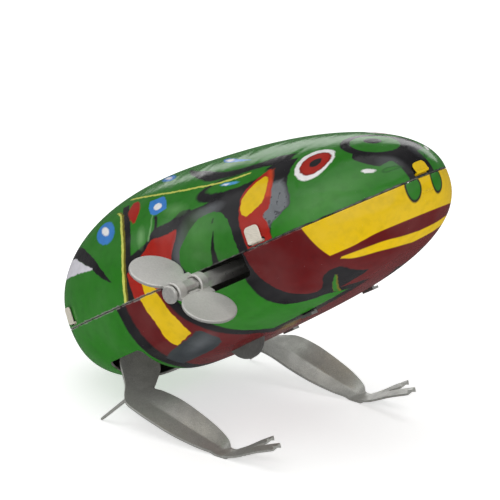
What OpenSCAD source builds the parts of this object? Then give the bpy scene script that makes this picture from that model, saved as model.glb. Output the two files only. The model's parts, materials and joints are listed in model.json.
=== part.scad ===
// Tin wind-up jumping frog.
// A pressed tin body in two shells holds a spring motor. The key winds the mainspring,
// the train speeds up to a star cam, and the cam kicks a sprung leg plate downwards.
//
// Body axes: x runs forward along the body, y to the frog's left, z square to the seam.
// The body origin is on the seam at its widest section. The stance tips the nose up by
// body_pitch and lifts the origin to body_height, so the heels and spurs stand on z = 0.

/* [Body] */
// Length of the body behind its widest section
rear_length = 35.9; // [34:0.1:38]
// Length of the body ahead of its widest section
front_length = 41.8; // [40:0.1:44]
// Half of the body's greatest width
body_half_width = 18.5; // [17.5:0.1:19.5]
// Height of the upper shell above the seam
upper_height = 15.4; // [14.5:0.1:16.5]
// Depth of the lower shell below the seam
lower_height = 13.2; // [12.8:0.1:14]
// Thickness of the printed tinplate
tin = 0.28; // [0.24:0.01:0.32]
// Gap between the two shells' edges at the seam
seam_gap = 0.1; // [0.06:0.01:0.2]

/* [Stance] */
// Nose-up tilt of the body
body_pitch = 30.8; // [28:0.1:33]
// Height of the body origin above the ground
body_height = 25.4; // [24.5:0.1:27]

/* [Key] */
// Sideways distance from the middle of the body to the middle of the key
key_out = 25; // [24.5:0.1:27]
// Half of a wing's width along the arbor
wing_half_width = 4.6; // [4:0.1:4.8]
// Distance from the arbor's axis to a wing's tip
wing_tip = 9.6; // [8:0.1:10.5]
// Tilt of the front wing below level
key_tilt = 17; // [0:1:60]
// Thickness of the key's sheet
key_sheet = 0.5; // [0.4:0.05:0.6]
// Radius of the winding arbor
arbor_r = 1.2; // [1.1:0.05:1.3]

/* [Motor] */
// Module of the gear teeth
gear_module = 0.5; // [0.5:0.01:0.51]
// Teeth on the great wheel
great_teeth = 36; // [36]
// Teeth on the second wheel
second_teeth = 32; // [32]
// Leaves on each pinion
pinion_leaves = 8; // [8]
// Thickness of a wheel
wheel_sheet = 0.6; // [0.5:0.05:0.6]
// Inner faces of the two motor plates, from the middle plane
plate_inner = 6.5; // [6.5:0.1:7]
// Thickness of a motor plate
plate_sheet = 0.5; // [0.4:0.05:0.6]
// Width of the mainspring's strip
spring_width = 5.4; // [4:0.1:5.6]
// Turns of the mainspring
spring_turns = 6; // [4:1:7]

/* [Legs] */
// Sideways distance from the middle plane to the middle of a shin
leg_out = 15.8; // [15.5:0.1:16.5]
// Thickness of the leg plate
leg_sheet = 0.4; // [0.35:0.05:0.45]
// Widest part of the shin
shin_width = 6.4; // [5.4:0.1:6.8]
// Height of the shin's edges over the crease along its middle
crease_depth = 0.5; // [0.3:0.05:0.6]
// Rise of the shin's left edge, and drop of its right edge, where it is creased
shin_tilt = 1.2; // [0.6:0.1:1.3]

/* [Hidden] */
$fn = 48;

// Roundness of the body's outlines: plan, back and belly, each ahead and behind
plan_power = [2.66, 2.55];
back_power = [2.66, 2.13];
belly_power = [3.33, 2.89];
// How much each outline swells (+) or shrinks (-) from the middle to the nose
plan_swell = 0.04;
back_swell = -0.21;
belly_swell = -0.10;
// Squareness of the cross-section above and below the seam
upper_square = 2.09;
lower_square = 2.58;
ring_step = 4;
ring_points = 56;
end_angle = 88;

// Places in body axes, [x, z]
arbor_at = [9.9, -1.6];
mesh_angle_1 = 161;
mesh_angle_2 = 162;
first_centres = gear_module * (great_teeth + pinion_leaves) / 2;
second_centres = gear_module * (second_teeth + pinion_leaves) / 2;
second_at = arbor_at + first_centres * [cos(mesh_angle_1), sin(mesh_angle_1)];
cam_at = second_at + second_centres * [cos(mesh_angle_2), sin(mesh_angle_2)];
hinge_at = [-16.5, -3.5];
pillar_at = [[21.2, 2], [8, 10.9], [-16.2, 7.6]];

// Feet of the motor plates, bent over under the belly, and the rounded lug on the right plate
right_feet = [15];
left_feet = [-4, 15];
foot_half = 1.2;
foot_reach = 0.4;
foot_bend = 0.8;
foot_sheet = 0.4;
foot_edge = -9;
lug_at = [0, -10.8];
lug_r = 4.2;

// Mainspring
spring_strip = 0.2;
spring_inner = arbor_r + 0.25;
spring_outer = 7.6;
spring_per_turn = 24;
spring_eye_steps = 20;

// Click: a sprung blade riveted to the great wheel, and the ratchet wheel on the arbor
click_reach = 5.6;
click_turn = 90;
click_at = arbor_at + click_reach * [cos(click_turn), sin(click_turn)];
ratchet_teeth = 12;
ratchet_root = 2.1;
ratchet_tip = 2.7;

// Star cam
cam_crest = 4.2;
cam_dip = 2.6;
cam_lobes = 4;
lobe_rise = 0.75;

// Return spring of the legs
leg_wire = 0.3;
leg_coil_turns = 3;

// Sideways layers of the motor, in y
ratchet_y = 5.35;
great_y = 4.6;
second_wheel_y = 2.9;
cam_y = -1.5;
cam_thick = 1;
spring_y = -4.2;

// Fits
running = 0.05;
pivot_r = 0.5;
hinge_r = 0.8;
pillar_r = 1.2;
rivet_r = 0.7;
head = 0.4;

// Openings in the shells
notch_x = [3.8, 17.3];
notch_depth = 3.7;
slot_x = [-22.8, -12.5];
slot_top = -7.1;
slot_corner = 1;
slot_air = 0.3;

// Tabs of the lower shell, each as [x, side, lean]: side -1 is right, 1 left and 0 the nose
side_tab_x = 20.6;
tail_tab_x = -27;
tabs = [
    [side_tab_x, -1, 7], [side_tab_x, 1, 7], [tail_tab_x, -1, 5], [tail_tab_x, 1, 5],
    [front_length, 0, 16]
];
tab_width = 2.7;
tab_rise = 3.3;
tab_air = 0.06;

// Key
strap_y = [-26.6, -21.6];
strap_width = 1.9;
strap_gap = 0.02;
middle_strap_gap = 0.25;
wing_root = 1.5;
flank_width = 1.6;
arbor_end = -28;
arbor_head = 0.3;

// Legs: the sheet's middle line in the stance, as [x, height, sideways, width, fold, tilt].
// The fold lifts both edges over the crease, and the tilt lifts the left edge and lowers the right
thigh_width = 8.8;
ankle_width = 3.8;
heel_x = 10.4;
leg_line = [
    [-15, 9.8, 7.3, thigh_width, 0, 0],
    [-14.5, 8.8, 7.9, thigh_width, 0, 0],
    [-13.8, 7.7, 8.6, thigh_width, 0, 0],
    [-12.6, 6.7, 9.6, 8.6, 0, 0],
    [-11, 5.8, 11.1, 8.2, 0, 0],
    [-9.4, 5.05, 13.4, 7.5, 0, 0],
    [-7.8, 4.7, leg_out - 0.5, shin_width + 0.2, 0.15, 0.25],
    [-5.6, 4.3, leg_out, shin_width, 0.4, 0.7],
    [-2, 3.4, leg_out, 5.8, crease_depth, shin_tilt],
    [2, 2.3, leg_out, 5.4, crease_depth, shin_tilt],
    [6, 1.3, leg_out, 4.6, 0.45, 0.95],
    [8.4, 0.7, leg_out, 4, 0.3, 0.5],
    [heel_x - 1, leg_sheet / 2, leg_out, ankle_width, 0, 0],
    [heel_x - 0.3, leg_sheet / 2, leg_out, ankle_width, 0, 0],
    [heel_x + 0.5, leg_sheet / 2, leg_out, ankle_width, 0, 0],
    [heel_x + 1.1, leg_sheet / 2, leg_out, ankle_width, 0, 0]
];
toe_tilt = 0.25;
long_toe = [[heel_x + 0.2, 0.22, -0.9, 1.9], [13.4, 1.2, -1.05, 2], [17.6, 3, -1.3, 1.9], [21.6, 4.5, -1.6, 2]];
short_toe = [[heel_x + 0.2, 0.22, 0.9, 1.9], [13, 1.15, 1.05, 2], [15.4, 2.6, 1.2, 1.9], [17.8, 3.9, 1.4, 2]];
spur_tip = [-13.8, 0];
spur_root = [-8.6, 4.8];
spur_out = 17.4;
spur_width = 0.9;
web_z = -6.8;
web_x = [-21.2, -15.4];
web_half = 8.8;
barrel_half = 4.4;
barrel_r = 1.3;

// ---- Body form ----

function power_of(t, powers) = t < 0 ? powers[1] : powers[0];
function roundness(t, powers) = sqrt(max(0, 1 - pow(abs(t), power_of(t, powers))));
function along(t) = t < 0 ? t * rear_length : t * front_length;
function station(x) = x < 0 ? x / rear_length : x / front_length;
function width_at(t) = body_half_width * roundness(t, plan_power) * (1 + plan_swell * t);
function back_at(t) = upper_height * roundness(t, back_power) * (1 + back_swell * t);
function belly_at(t) = lower_height * roundness(t, belly_power) * (1 + belly_swell * t);
function signed_power(v, p) = sign(v) * pow(abs(v), p);
function ring_point(t, angle, inset) =
    let (
        square = sin(angle) < 0 ? lower_square : upper_square,
        height = sin(angle) < 0 ? belly_at(t) : back_at(t),
        wide = max(0.05, width_at(t) - inset),
        tall = max(0.05, height - inset)
    )
    [
        along(t) * (1 - inset / 38),
        wide * signed_power(cos(angle), 2 / square),
        tall * signed_power(sin(angle), 2 / square)
    ];
// Depth of the lower shell's outside below the seam at a place x, y
function belly_depth(x, y) =
    let (t = station(x))
    belly_at(t) * pow(1 - pow(abs(y) / width_at(t), lower_square), 1 / lower_square);
// Direction of the wall's outward normal at the seam, as an angle from straight sideways
function wall_turn(x) = atan2(width_at(station(x - 0.1)) - width_at(station(x + 0.1)), 0.2);

body_stations = [for (a = [-end_angle : ring_step : end_angle]) sin(a)];
ring_angles = [for (i = [0 : ring_points - 1]) i * 360 / ring_points];

// One closed stack of rings, from end to end
module ring_stack(stations, inset) {
    rings = len(stations);
    points = [for (t = stations, a = ring_angles) ring_point(t, a, inset)];
    walls = [
        for (i = [0 : rings - 2], j = [0 : ring_points - 1])
            let (k = (j + 1) % ring_points)
            [
                i * ring_points + j, i * ring_points + k,
                (i + 1) * ring_points + k, (i + 1) * ring_points + j
            ]
    ];
    tail = [for (j = [ring_points - 1 : -1 : 0]) j];
    nose = [for (j = [0 : ring_points - 1]) (rings - 1) * ring_points + j];
    hull() polyhedron(points, concat(walls, [tail, nose]));
}
// The whole body, both halves, shrunk by inset: a rear dome and a front dome that meet at the middle
module body_form(inset) {
    ring_stack([for (t = body_stations) if (t < 0.01) t], inset);
    ring_stack([for (t = body_stations) if (t > -0.01) t], inset);
}

// ---- Placing ----

stance_points = [
    for (t = body_stations, a = ring_angles)
        let (p = ring_point(t, a, 0)) p[0] * cos(body_pitch) - p[2] * sin(body_pitch)
];
shift_x = -(max(stance_points) + min(stance_points)) / 2;
leg_outer = leg_out + shin_width / 2;
shift_y = (key_out + wing_half_width - max(leg_outer, body_half_width * (1 + plan_swell / 4))) / 2;

// From stance axes, with the body origin over x = y = 0, to the part's own frame
module stand() translate([shift_x, shift_y, 0]) children();
// From body axes to the part's own frame
module tilt() stand() translate([0, 0, body_height]) rotate([0, -body_pitch, 0]) children();
// A cylinder along y, from y = start, about a place [x, z] in body axes
module rod(at, start, length, r) translate([at[0], start, at[1]]) rotate([-90, 0, 0]) cylinder(h = length, r = r);
// A flat outline drawn in [x, z], given a thickness along y from y = start
module sheet_y(start, thickness) translate([0, start + thickness, 0]) rotate([90, 0, 0]) linear_extrude(thickness) children();
// From wall axes (x along the rim, y outwards, z up) to a place on the rim
module on_rim(x, side) {
    mirror([0, side < 0 ? 1 : 0, 0])
        translate([x, width_at(station(x)), 0])
            rotate([0, 0, -wall_turn(x)]) children();
}
module at_tab(place) {
    if (place[1] == 0) translate([place[0], 0, 0]) rotate([0, 0, -90]) children();
    else on_rim(place[0], place[1]) children();
}

// ---- Shells ----

// One round-ended slot through the wall for a tab
module tab_slot() {
    hull() for (s = [-1, 1]) translate([s * tab_width / 2, -2, 0.75]) rotate([-90, 0, 0]) cylinder(h = 4, r = 0.35, $fn = 16);
}
// A folded tab: joggled root, neck through the slot, and outer leg lying up the wall
module tab(lean) {
    inner = -0.72;
    neck_z = 0.6;
    root_z = -2.4;
    root_top = -0.3;
    joggle_z = -1;
    wall_overlap = 0.15;
    crown = tab_width / 4;
    translate([-tab_width / 2, inner, root_z]) cube([tab_width, -inner - wall_overlap, root_top - root_z]);
    translate([-tab_width / 2, inner, joggle_z]) cube([tab_width, tin, neck_z + tin - joggle_z]);
    translate([-tab_width / 2, inner, neck_z]) cube([tab_width, tab_air + tin - inner, tin]);
    translate([0, tab_air, neck_z]) rotate([lean, 0, 0]) hull() {
        translate([-tab_width / 2, 0, 0]) cube([tab_width, tin, 2 * tin]);
        for (s = [-1, 1]) translate([s * crown, 0, tab_rise - neck_z - crown])
            rotate([-90, 0, 0]) cylinder(h = tin, r = crown, $fn = 20);
    }
}
module half_shell(keep_above) {
    big = 100;
    difference() {
        body_form(0);
        body_form(tin);
        translate([-big / 2, -big / 2, keep_above ? -big + seam_gap / 2 : -seam_gap / 2]) cube(big);
    }
}
module upper_shell() {
    color("forestgreen") tilt() difference() {
        half_shell(true);
        for (place = tabs) at_tab(place) tab_slot();
    }
}
// Round-cornered opening for the arbor in the right-hand wall
module key_notch() {
    hull() for (x = [notch_x[0] + 1, notch_x[1] - 1], z = [1 - notch_depth, 2])
        translate([x, -30, z]) rotate([-90, 0, 0]) cylinder(h = 20, r = 1, $fn = 20);
}
// Slot across the belly for the legs
module leg_slot() {
    r = slot_corner;
    hull() for (x = [slot_x[0] + r, slot_x[1] - r], z = [slot_top - r, -20])
        translate([x, -20, z]) rotate([-90, 0, 0]) cylinder(h = 40, r = r, $fn = 20);
}
// Opening in the belly for a foot or the lug, half as long as half_length
module foot_slot(x, side, half_length) {
    y = side * (plate_inner + plate_sheet / 2);
    end_r = 0.4;
    hull() for (s = [-1, 1]) translate([x + s * (half_length - end_r), y, -20]) cylinder(h = 12, r = end_r, $fn = 16);
}
module lower_shell() {
    color("firebrick") tilt() difference() {
        union() {
            half_shell(false);
            for (place = tabs) at_tab(place) tab(place[2]);
        }
        key_notch();
        leg_slot();
        for (x = right_feet) foot_slot(x, -1, foot_half + slot_air);
        for (x = left_feet) foot_slot(x, 1, foot_half + slot_air);
        foot_slot(lug_at[0], -1, lug_r);
    }
}

// ---- Motor frame ----

module plate_outline() {
    corner_r = 1;
    difference() {
        hull() {
            for (p = pillar_at) translate(p) circle(r = 2.4);
            translate(hinge_at) circle(r = 2.2);
            for (x = [left_feet[0], right_feet[0]]) translate([x, foot_edge + corner_r]) circle(r = corner_r);
        }
        for (p = pillar_at) translate(p) circle(r = rivet_r);
        translate(arbor_at) circle(r = arbor_r + running);
        translate(second_at) circle(r = pivot_r + running);
        translate(cam_at) circle(r = pivot_r + running);
        translate(hinge_at) circle(r = hinge_r);
    }
}
module motor_plate(side) {
    inner = side > 0 ? plate_inner : -plate_inner - plate_sheet;
    sheet_y(inner, plate_sheet) plate_outline();
    for (x = side > 0 ? left_feet : right_feet) {
        depth = belly_depth(x, plate_inner) + foot_reach;
        translate([x - foot_half, inner, -depth]) cube([2 * foot_half, plate_sheet, depth + foot_edge + 1]);
        translate([x - foot_half, side > 0 ? inner : inner - foot_bend, -depth])
            cube([2 * foot_half, plate_sheet + foot_bend, foot_sheet]);
    }
    if (side < 0) sheet_y(inner, plate_sheet) translate(lug_at) circle(r = lug_r);
}
module motor_plate_right() { color("silver") tilt() motor_plate(-1); }
module motor_plate_left() { color("silver") tilt() motor_plate(1); }
module frame_pillars() {
    outer = plate_inner + plate_sheet;
    color("darkgray") tilt() for (p = pillar_at) {
        rod(p, -plate_inner, 2 * plate_inner, pillar_r);
        rod(p, -outer - head, 2 * (outer + head), rivet_r);
        rod(p, -outer - head, head, rivet_r + 0.35);
        rod(p, outer, head, rivet_r + 0.35);
    }
}
module leg_pin() {
    outer = plate_inner + plate_sheet;
    color("gray") tilt() {
        rod(hinge_at, -outer - head, 2 * (outer + head), hinge_r);
        rod(hinge_at, -outer - head, head, hinge_r + 0.4);
        rod(hinge_at, outer, head, hinge_r + 0.4);
    }
}

// ---- Mainspring ----

// Unit vectors of an arc from one angle, in equal steps
function spokes(from, count, step) = [for (k = [0 : count]) [cos(from + k * step), sin(from + k * step)]];
// A strip that winds out round the arbor, leaves along a tangent and curls round the nose pillar
module mainspring() {
    steps = spring_turns * spring_per_turn;
    hook = pillar_at[0];
    away = hook - arbor_at;
    eye_r = pillar_r + running;
    leave = atan2(away[1], away[0]) - acos((spring_outer - eye_r) / norm(away));
    coil = spokes(leave, steps, 360 / spring_per_turn);
    eye = spokes(leave, spring_eye_steps, 360 / spring_per_turn);
    growth = (spring_outer - spring_inner) / steps;
    function edge(extra) = concat(
        [for (k = [0 : steps]) arbor_at + (spring_inner + growth * k + extra) * coil[k]],
        [for (spoke = eye) hook + (eye_r + extra) * spoke]
    );
    near = edge(0);
    far = edge(spring_strip);
    color("steelblue") tilt() sheet_y(spring_y, spring_width)
        polygon(concat(near, [for (k = [len(far) - 1 : -1 : 0]) far[k]]));
}

// ---- Gears ----

tooth_pitch = PI * gear_module;
wheel_addendum = 0.8 * gear_module;
wheel_dedendum = 1.15 * gear_module;
pinion_addendum = 0.65 * gear_module;
pinion_dedendum = 1.2 * gear_module;
// One tooth, pointing along +x, widths measured across the tooth at root, pitch line and tip
module tooth(pitch_r, addendum, dedendum, root_w, pitch_w, tip_w) {
    polygon([
        [pitch_r - dedendum - 0.15, -root_w / 2], [pitch_r, -pitch_w / 2],
        [pitch_r + addendum * 0.6, -(pitch_w + tip_w) / 4], [pitch_r + addendum, -tip_w / 2],
        [pitch_r + addendum, tip_w / 2], [pitch_r + addendum * 0.6, (pitch_w + tip_w) / 4],
        [pitch_r, pitch_w / 2], [pitch_r - dedendum - 0.15, root_w / 2]
    ]);
}
module wheel_outline(teeth) {
    r = gear_module * teeth / 2;
    circle(r = r - wheel_dedendum, $fn = 96);
    for (i = [0 : teeth - 1]) rotate(i * 360 / teeth)
        tooth(r, wheel_addendum, wheel_dedendum, 0.46 * tooth_pitch, 0.38 * tooth_pitch, 0.14 * tooth_pitch);
}
module pinion_outline() {
    r = gear_module * pinion_leaves / 2;
    circle(r = r - pinion_dedendum);
    for (i = [0 : pinion_leaves - 1]) rotate(i * 360 / pinion_leaves)
        tooth(r, pinion_addendum, pinion_dedendum, 0.26 * tooth_pitch, 0.36 * tooth_pitch, 0.2 * tooth_pitch);
}
// The great wheel stands with a tooth on the line of centres, and each pinion with a gap
great_turn = mesh_angle_1;
second_pinion_turn = mesh_angle_1 + 180 + 180 / pinion_leaves;
second_wheel_turn = mesh_angle_2;
cam_pinion_turn = mesh_angle_2 + 180 + 180 / pinion_leaves;

module great_wheel() {
    lightening = 5.6;
    color("goldenrod") tilt() difference() {
        sheet_y(great_y, wheel_sheet) translate(arbor_at) rotate(great_turn) wheel_outline(great_teeth);
        rod(arbor_at, great_y - 1, 3, arbor_r + running);
        for (i = [0 : 3]) rod(arbor_at + lightening * [cos(45 + 90 * i), sin(45 + 90 * i)], great_y - 1, 3, 1.5);
        rod(click_at, great_y - 1, 3, rivet_r);
    }
}
module click_rivet() {
    color("darkgray") tilt() {
        rod(click_at, great_y - 0.25, wheel_sheet + 0.25 + 0.65, rivet_r);
        rod(click_at, great_y - 0.25, 0.25, rivet_r + 0.3);
        rod(click_at, great_y + wheel_sheet + 0.35, 0.3, rivet_r + 0.3);
    }
}
module ratchet_outline() {
    step = 360 / ratchet_teeth;
    polygon([
        for (i = [0 : ratchet_teeth - 1])
            each [
                ratchet_tip * [cos(i * step), sin(i * step)],
                ratchet_root * [cos(i * step + 3), sin(i * step + 3)]
            ]
    ]);
}
module ratchet_wheel() {
    color("silver") tilt() difference() {
        sheet_y(ratchet_y, 0.7) translate(arbor_at) ratchet_outline();
        rod(arbor_at, ratchet_y - 1, 3, arbor_r);
    }
}
// A flat spring strip: an eye under the rivet's head and a blade down to the ratchet
module click_spring() {
    blade = 0.22;
    tip = arbor_at + (ratchet_tip + 0.12) * [cos(40), sin(40)];
    start = click_at + [1.15, 0];
    run = tip - start;
    color("steelblue") tilt() {
        difference() {
            rod(click_at, great_y + wheel_sheet + 0.05, 0.28, 1.3);
            rod(click_at, great_y, 2, rivet_r + 0.02);
        }
        sheet_y(ratchet_y, 0.6) translate(start) rotate(atan2(run[1], run[0])) translate([0, -blade / 2]) square([norm(run), blade]);
        rod(start + [-0.02, 0], great_y + wheel_sheet + 0.05, 0.9, 0.13);
    }
}

// ---- Winding arbor and key ----

module winding_arbor() {
    inner_end = plate_inner + plate_sheet + 0.5;
    color("silver") tilt() {
        rod(arbor_at, arbor_end, inner_end - arbor_end, arbor_r);
        rod(arbor_at, arbor_end - arbor_head, 2 * arbor_head, arbor_r + arbor_head);
    }
}
// One band of the key's sheet bowed over (+1) or under (-1) the arbor, from y inwards
module strap(y, width, over) {
    bow = arbor_r + strap_gap + key_sheet;
    translate([0, y + width / 2, 0]) rotate([90, 0, 0]) linear_extrude(width) difference() {
        circle(r = bow);
        translate([-2 * bow, over > 0 ? -key_sheet / 2 - 4 * bow : key_sheet / 2]) square(4 * bow);
    }
}
// A pressed sheet: two oval wings, and three bands bowed over, under and over the arbor
module key() {
    half_gap = arbor_r + strap_gap;
    wing_mid = (wing_tip + wing_root) / 2;
    wing_half = (wing_tip - wing_root) / 2;
    flank_mid = half_gap + flank_width / 2 - 0.1;
    middle = (strap_y[0] + strap_y[1]) / 2;
    flank_length = strap_y[1] - strap_y[0] + strap_width;
    color("gainsboro") tilt() translate([arbor_at[0], 0, arbor_at[1]]) rotate([0, body_pitch + key_tilt, 0]) difference() {
        union() {
            for (side = [-1, 1]) translate([side * wing_mid, -key_out, 0])
                linear_extrude(key_sheet, center = true) scale([wing_half / wing_half_width, 1]) circle(r = wing_half_width);
            for (side = [-1, 1]) translate([side * flank_mid, middle, 0])
                cube([flank_width, flank_length, key_sheet], center = true);
            for (y = strap_y) strap(y, strap_width, 1);
            strap(middle, flank_length - 2 * (strap_width + middle_strap_gap), -1);
        }
        rotate([90, 0, 0]) cylinder(h = 80, r = half_gap, center = true);
    }
}

// ---- Second arbor ----

module train_shaft(at) rod(at, -plate_inner - plate_sheet - 0.3, 2 * (plate_inner + plate_sheet + 0.3), pivot_r);
module second_shaft() { color("gray") tilt() train_shaft(second_at); }
module second_pinion() {
    color("silver") tilt() difference() {
        sheet_y(3.75, 2.3) translate(second_at) rotate(second_pinion_turn) pinion_outline();
        rod(second_at, 0, 8, pivot_r);
    }
}
module second_wheel() {
    color("goldenrod") tilt() difference() {
        sheet_y(second_wheel_y, wheel_sheet) translate(second_at) rotate(second_wheel_turn) wheel_outline(second_teeth);
        rod(second_at, 0, 8, pivot_r);
        for (i = [0 : 3]) rod(second_at + 4.6 * [cos(90 * i), sin(90 * i)], 0, 8, 1.4);
    }
}

// ---- Cam arbor ----

// Each lobe climbs slowly from the dip to the crest and drops away quickly
module cam_outline() {
    polygon([
        for (a = [0 : 5 : 355])
            let (
                lobe = a * cam_lobes / 360,
                phase = lobe - floor(lobe),
                lift = phase < lobe_rise ? phase / lobe_rise : (1 - phase) / (1 - lobe_rise)
            )
            (cam_dip + (cam_crest - cam_dip) * lift) * [cos(a), sin(a)]
    ]);
}
module cam_shaft() { color("gray") tilt() train_shaft(cam_at); }
module cam_pinion() {
    color("silver") tilt() difference() {
        sheet_y(2.2, 2) translate(cam_at) rotate(cam_pinion_turn) pinion_outline();
        rod(cam_at, 0, 8, pivot_r);
    }
}
module star_cam() {
    color("goldenrod") tilt() difference() {
        sheet_y(cam_y, cam_thick) translate(cam_at) cam_outline();
        rod(cam_at, cam_y - 1, 4, pivot_r);
    }
}

// ---- Legs ----

across = [-1, -0.5, 0, 0.5, 1];
// A strip swept along stations of [x, height, sideways, width, rib], with its thickness square to its run
module ribbon(line, thickness) {
    n = len(line);
    m = len(across);
    function run_at(i) = line[min(i + 1, n - 1)] - line[max(i - 1, 0)];
    function lift_at(i) = let (d = run_at(i), l = norm([d[0], d[1]])) [-d[1] / l, d[0] / l];
    function skin_point(i, a, up) =
        let (s = line[i], lift = lift_at(i), h = up + s[4] * abs(a) + s[5] * a)
        [s[0] + lift[0] * h, s[2] + a * s[3] / 2, s[1] + lift[1] * h];
    points = [
        for (i = [0 : n - 1])
            each concat(
                [for (a = across) skin_point(i, a, thickness / 2)],
                [for (k = [m - 1 : -1 : 0]) skin_point(i, across[k], -thickness / 2)]
            )
    ];
    ring = 2 * m;
    walls = [
        for (i = [0 : n - 2], j = [0 : ring - 1])
            let (k = (j + 1) % ring)
            each [
                [i * ring + j, i * ring + k, (i + 1) * ring + k],
                [i * ring + j, (i + 1) * ring + k, (i + 1) * ring + j]
            ]
    ];
    // Each end is a fan of quads between the upper and lower edges
    function end_faces(base, flip) = [
        for (j = [0 : m - 2])
            let (q = [base + j, base + ring - 1 - j, base + ring - 2 - j, base + j + 1])
            flip ? [q[3], q[2], q[1], q[0]] : q
    ];
    polyhedron(points, concat(walls, end_faces(0, true), end_faces((n - 1) * ring, false)));
}
// A toe lies flat where it leaves the foot and is tilted from there on
function toe_line(toe, out) = [
    for (i = [0 : len(toe) - 1])
        let (s = toe[i])
        [s[0], s[1], out + s[2], s[3], 0, i == 0 ? 0 : toe_tilt]
];
function leg_line_at(side) = [for (s = leg_line) [s[0], s[1], side * s[2], s[3], s[4], s[5]]];
module leg(side) {
    ribbon(leg_line_at(side), leg_sheet);
    ribbon(toe_line(long_toe, side * leg_out), leg_sheet - 0.06);
    ribbon(toe_line(short_toe, side * leg_out), leg_sheet - 0.06);
    spur = spur_tip - spur_root;
    mirror([0, side < 0 ? 1 : 0, 0])
        translate([spur_root[0], spur_out - spur_width / 2, spur_root[1]])
            rotate([0, atan2(-spur[1], spur[0]), 0])
                translate([0, 0, -leg_sheet / 2]) cube([norm(spur) - leg_sheet / 2, spur_width, leg_sheet]);
}
// Both legs, the web that joins them, cheeks up to the hinge barrel, and the arm that meets the star cam
module leg_plate() {
    pad = hinge_at + [7.9, 3.6];
    bend = hinge_at + [3.1, 2.5];
    arm = [0, 0.5];
    arm_y = [-2.6, 3.2];
    cheek = [2, 0.5];
    color("lightgray") {
        stand() for (side = [-1, 1]) leg(side);
        tilt() difference() {
            union() {
                rod(hinge_at, -barrel_half, 2 * barrel_half, barrel_r);
                translate([web_x[0], -web_half, web_z - leg_sheet / 2])
                    cube([web_x[1] - web_x[0], 2 * web_half, leg_sheet]);
                for (side = [-1, 1])
                    translate([hinge_at[0] - cheek[0] / 2, side * (barrel_half - cheek[1] / 2) - cheek[1] / 2, web_z])
                        cube([cheek[0], cheek[1], hinge_at[1] - web_z]);
                sheet_y(arm_y[0], arm_y[1]) polygon([
                    hinge_at + [0.4, 1], bend, pad, pad - arm, bend + [0.3, 0] - arm, hinge_at + [1.1, 0]
                ]);
            }
            rod(hinge_at, -2 * barrel_half, 4 * barrel_half, hinge_r + running);
        }
    }
}
// Return spring: a close coil round the pin beside the barrel
module leg_spring() {
    steps = 16;
    sides = 6;
    count = leg_coil_turns * steps;
    coil_r = hinge_r + running + 0.1 + leg_wire;
    first_y = -barrel_half - 0.3;
    climb = -1.5 / count;
    points = [
        for (i = [0 : count], j = [0 : sides - 1])
            let (a = i * 360 / steps, b = j * 360 / sides, r = coil_r + leg_wire / 2 * cos(b))
            [hinge_at[0] + r * cos(a), first_y + i * climb + leg_wire / 2 * sin(b), hinge_at[1] + r * sin(a)]
    ];
    walls = [
        for (i = [0 : count - 1], j = [0 : sides - 1])
            let (k = (j + 1) % sides)
            each [
                [i * sides + j, (i + 1) * sides + j, (i + 1) * sides + k],
                [i * sides + j, (i + 1) * sides + k, i * sides + k]
            ]
    ];
    ends = [[for (j = [0 : sides - 1]) j], [for (j = [sides - 1 : -1 : 0]) count * sides + j]];
    color("steelblue") tilt() polyhedron(points, concat(walls, ends));
}

upper_shell();
lower_shell();
motor_plate_right();
motor_plate_left();
frame_pillars();
leg_pin();
mainspring();
great_wheel();
click_rivet();
click_spring();
ratchet_wheel();
winding_arbor();
key();
second_shaft();
second_pinion();
second_wheel();
cam_shaft();
cam_pinion();
star_cam();
leg_plate();
leg_spring();
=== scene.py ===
"""Looks of the tin wind-up jumping frog: two printed shells, folded tabs, key, arbor and sprung legs.

Body axes: x runs forward along the body, y to the frog's left, z square to the seam, in millimetres.
Stance axes: x forward over the ground, y to the frog's left, z up, with the body's origin over x = y = 0.
The print is laid out in s, the place along the body, and t, the distance round the section from the
seam, positive over the back and negative under the belly. It is the same on both sides.
"""

import json
import math

import bmesh
import bpy
import numpy as np
from mathutils import Matrix, Vector


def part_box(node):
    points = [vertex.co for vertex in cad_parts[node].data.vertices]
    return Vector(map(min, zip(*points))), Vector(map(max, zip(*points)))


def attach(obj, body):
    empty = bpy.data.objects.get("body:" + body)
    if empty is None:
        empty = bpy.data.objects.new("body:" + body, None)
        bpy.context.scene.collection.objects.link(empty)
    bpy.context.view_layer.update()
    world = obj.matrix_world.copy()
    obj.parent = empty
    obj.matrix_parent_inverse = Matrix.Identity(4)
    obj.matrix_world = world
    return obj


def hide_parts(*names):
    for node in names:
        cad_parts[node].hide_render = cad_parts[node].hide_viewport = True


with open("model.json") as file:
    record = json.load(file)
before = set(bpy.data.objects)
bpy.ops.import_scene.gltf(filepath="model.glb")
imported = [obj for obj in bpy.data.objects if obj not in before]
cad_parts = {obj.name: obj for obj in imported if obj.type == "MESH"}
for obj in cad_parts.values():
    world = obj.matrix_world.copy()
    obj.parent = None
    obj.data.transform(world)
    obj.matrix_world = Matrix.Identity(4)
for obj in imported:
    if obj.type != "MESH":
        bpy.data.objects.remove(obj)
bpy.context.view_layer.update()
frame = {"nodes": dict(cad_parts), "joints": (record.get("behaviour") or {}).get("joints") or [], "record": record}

MM = 0.001

# ---- Places taken from the frame ----

PITCH = math.radians(30.8)
ARBOR = (9.9, -1.6)
HINGE = (-16.5, -3.5)
LEAN = Matrix.Rotation(-PITCH, 3, "Y")


def joint_place(name):
    """The place of a joint in the row frame, in metres."""
    return Vector(next(j["pos_m"] for j in frame["joints"] if j["name"] == name))


shell_low, shell_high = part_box("lower_shell")
ORIGIN = joint_place("train_run") - LEAN @ Vector((ARBOR[0], 0, ARBOR[1])) * MM
ORIGIN.y = (shell_low.y + shell_high.y) / 2
GROUND = Vector((ORIGIN.x, ORIGIN.y, 0))


def from_body(x, y, z):
    """From body axes to the row frame."""
    return ORIGIN + LEAN @ Vector((x, y, z)) * MM


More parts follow.
